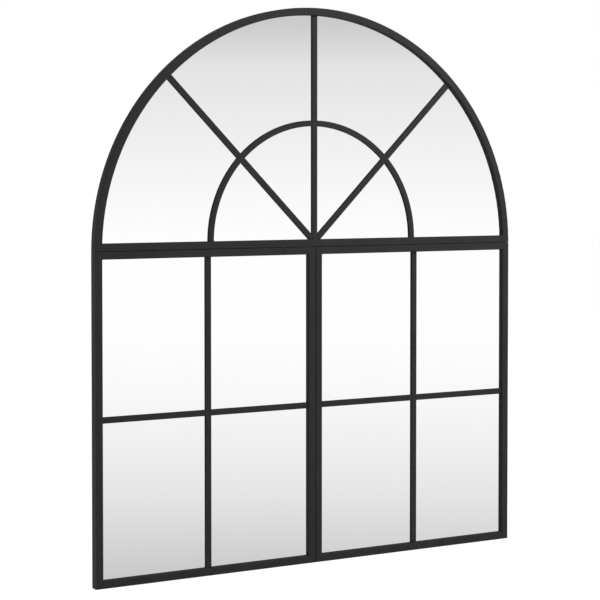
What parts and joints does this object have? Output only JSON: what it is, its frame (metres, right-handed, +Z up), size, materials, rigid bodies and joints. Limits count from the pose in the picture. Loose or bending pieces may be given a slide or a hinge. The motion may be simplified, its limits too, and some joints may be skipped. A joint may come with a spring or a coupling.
{
  "type": "arched wall mirror",
  "caption": "Arched wall mirror like a fanlight window: black tube frame in three joined panels, flat glazing bars, mirror panes and ring hangers at the back.",
  "frame": {"origin": "under the middle of the mirror at its base, halfway through its depth", "axes": "+X to the right seen from the front, +Y to the wall, +Z up"},
  "size_m": [0.9, 0.027, 1.0504],
  "materials": {
    "frame_black": "matt black powder coat",
    "mirror_glass": "silvered glass",
    "gasket_rubber": "closed-cell strip",
    "fibreboard": "bare fibreboard",
    "zinc_steel": "zinc plated",
    "screw_steel": "zinc plated",
    "bumper_rubber": "matt rubber"
  },
  "bodies": {
    "mirror": {"arch_rim": "frame_black", "arch_bottom_rail": "frame_black", "spoke_left": "frame_black", "spoke_centre": "frame_black", "spoke_right": "frame_black", "fan_bar_1": "frame_black", "fan_bar_2": "frame_black", "fan_bar_3": "frame_black", "fan_bar_4": "frame_black", "left_outer_stile": "frame_black", "left_inner_stile": "frame_black", "left_top_rail": "frame_black", "left_bottom_rail": "frame_black", "left_upright_bar": "frame_black", "left_cross_bar_outer": "frame_black", "left_cross_bar_inner": "frame_black", "right_outer_stile": "frame_black", "right_inner_stile": "frame_black", "right_top_rail": "frame_black", "right_bottom_rail": "frame_black", "right_upright_bar": "frame_black", "right_cross_bar_outer": "frame_black", "right_cross_bar_inner": "frame_black", "arch_mirror": "mirror_glass", "arch_gasket": "gasket_rubber", "arch_back_board": "fibreboard", "left_mirror": "mirror_glass", "left_gasket": "gasket_rubber", "left_back_board": "fibreboard", "right_mirror": "mirror_glass", "right_gasket": "gasket_rubber", "right_back_board": "fibreboard", "tee_plate": "zinc_steel", "seam_plate_left": "zinc_steel", "seam_plate_right": "zinc_steel", "stile_plate_middle": "zinc_steel", "stile_plate_low": "zinc_steel", "turn_button_screws": "screw_steel", "plate_screws": "screw_steel", "hanger_screws": "screw_steel", "hanger_strap_left": "zinc_steel", "hanger_strap_right": "zinc_steel", "wall_bumpers": "bumper_rubber"},
    "arch_turn_button_1": {"arch_turn_button_1": "zinc_steel"},
    "arch_turn_button_2": {"arch_turn_button_2": "zinc_steel"},
    "arch_turn_button_3": {"arch_turn_button_3": "zinc_steel"},
    "arch_turn_button_4": {"arch_turn_button_4": "zinc_steel"},
    "arch_turn_button_5": {"arch_turn_button_5": "zinc_steel"},
    "left_turn_button_1": {"left_turn_button_1": "zinc_steel"},
    "left_turn_button_2": {"left_turn_button_2": "zinc_steel"},
    "left_turn_button_3": {"left_turn_button_3": "zinc_steel"},
    "left_turn_button_4": {"left_turn_button_4": "zinc_steel"},
    "right_turn_button_1": {"right_turn_button_1": "zinc_steel"},
    "right_turn_button_2": {"right_turn_button_2": "zinc_steel"},
    "right_turn_button_3": {"right_turn_button_3": "zinc_steel"},
    "right_turn_button_4": {"right_turn_button_4": "zinc_steel"},
    "hanger_ring_left": {"hanger_ring_left": "zinc_steel"},
    "hanger_ring_right": {"hanger_ring_right": "zinc_steel"}
  },
  "joints": [
    {"name": "arch_turn_button_1_turn", "type": "hinge", "parent": "mirror", "child": "arch_turn_button_1", "pos_m": [0.31325, 0.00745, 0.91365], "axis": [0, 1, 0], "range_deg": [-90, 90]},
    {"name": "arch_turn_button_2_turn", "type": "hinge", "parent": "mirror", "child": "arch_turn_button_2", "pos_m": [0, 0.00745, 1.0434], "axis": [0, 1, 0], "range_deg": [-90, 90]},
    {"name": "arch_turn_button_3_turn", "type": "hinge", "parent": "mirror", "child": "arch_turn_button_3", "pos_m": [-0.31325, 0.00745, 0.91365], "axis": [0, 1, 0], "range_deg": [-90, 90]},
    {"name": "arch_turn_button_4_turn", "type": "hinge", "parent": "mirror", "child": "arch_turn_button_4", "pos_m": [-0.18, 0.00745, 0.6074], "axis": [0, 1, 0], "range_deg": [-90, 90]},
    {"name": "arch_turn_button_5_turn", "type": "hinge", "parent": "mirror", "child": "arch_turn_button_5", "pos_m": [0.18, 0.00745, 0.6074], "axis": [0, 1, 0], "range_deg": [-90, 90]},
    {"name": "left_turn_button_1_turn", "type": "hinge", "parent": "mirror", "child": "left_turn_button_1", "pos_m": [-0.443, 0.00745, 0.15], "axis": [0, 1, 0], "range_deg": [-90, 90]},
    {"name": "left_turn_button_2_turn", "type": "hinge", "parent": "mirror", "child": "left_turn_button_2", "pos_m": [-0.0072, 0.00745, 0.15], "axis": [0, 1, 0], "range_deg": [-90, 90]},
    {"name": "left_turn_button_3_turn", "type": "hinge", "parent": "mirror", "child": "left_turn_button_3", "pos_m": [-0.443, 0.00745, 0.45], "axis": [0, 1, 0], "range_deg": [-90, 90]},
    {"name": "left_turn_button_4_turn", "type": "hinge", "parent": "mirror", "child": "left_turn_button_4", "pos_m": [-0.0072, 0.00745, 0.45], "axis": [0, 1, 0], "range_deg": [-90, 90]},
    {"name": "right_turn_button_1_turn", "type": "hinge", "parent": "mirror", "child": "right_turn_button_1", "pos_m": [0.443, 0.00745, 0.15], "axis": [0, 1, 0], "range_deg": [-90, 90]},
    {"name": "right_turn_button_2_turn", "type": "hinge", "parent": "mirror", "child": "right_turn_button_2", "pos_m": [0.0072, 0.00745, 0.15], "axis": [0, 1, 0], "range_deg": [-90, 90]},
    {"name": "right_turn_button_3_turn", "type": "hinge", "parent": "mirror", "child": "right_turn_button_3", "pos_m": [0.443, 0.00745, 0.45], "axis": [0, 1, 0], "range_deg": [-90, 90]},
    {"name": "right_turn_button_4_turn", "type": "hinge", "parent": "mirror", "child": "right_turn_button_4", "pos_m": [0.0072, 0.00745, 0.45], "axis": [0, 1, 0], "range_deg": [-90, 90]},
    {"name": "hanger_ring_left_swing", "type": "hinge", "parent": "mirror", "child": "hanger_ring_left", "pos_m": [-0.27, 0.0098, 0.6174], "axis": [-1, 0, 0], "range_deg": [0, 180]},
    {"name": "hanger_ring_right_swing", "type": "hinge", "parent": "mirror", "child": "hanger_ring_right", "pos_m": [0.27, 0.0098, 0.6174], "axis": [-1, 0, 0], "range_deg": [0, 180]}
  ]
}
